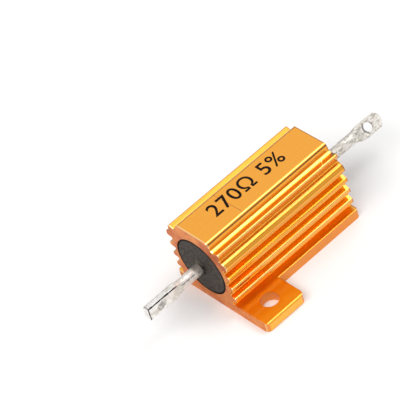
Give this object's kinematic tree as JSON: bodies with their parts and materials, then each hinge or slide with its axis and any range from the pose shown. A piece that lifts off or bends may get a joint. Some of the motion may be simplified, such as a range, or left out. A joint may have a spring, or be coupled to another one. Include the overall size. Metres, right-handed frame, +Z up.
{
  "type": "aluminium housed power resistor",
  "caption": "Wirewound power resistor in a finned gold anodised aluminium housing, with diagonal mounting tabs and an eyelet lug on the lead at each end.",
  "frame": {"origin": "middle of the mounting face, under the middle of the body", "axes": "+Y along the body and its leads, +X across it towards the front tab, +Z up out of the mounting face"},
  "size_m": [0.0272, 0.0531, 0.0146],
  "materials": {
    "gold_anodised_aluminium": "gold anodised, satin, with bare cut ends",
    "tinned_lead": "tin plated, bright, dulled by handling",
    "sealing_compound": "dark grey, matt, slightly grainy",
    "potting_cement": "pale grey cement, matt",
    "core_ceramic": "off-white, unglazed",
    "resistance_wire": "drawn resistance alloy, grey",
    "cap_steel": "pressed, plain"
  },
  "bodies": {
    "root": {"housing": "gold_anodised_aluminium", "ceramic_core": "core_ceramic", "resistance_winding": "resistance_wire", "end_cap_front": "cap_steel", "end_cap_rear": "cap_steel", "terminal_front": "tinned_lead", "terminal_rear": "tinned_lead", "potting_fill": "potting_cement", "end_seal_front": "sealing_compound", "end_seal_rear": "sealing_compound"}
  },
  "joints": []
}
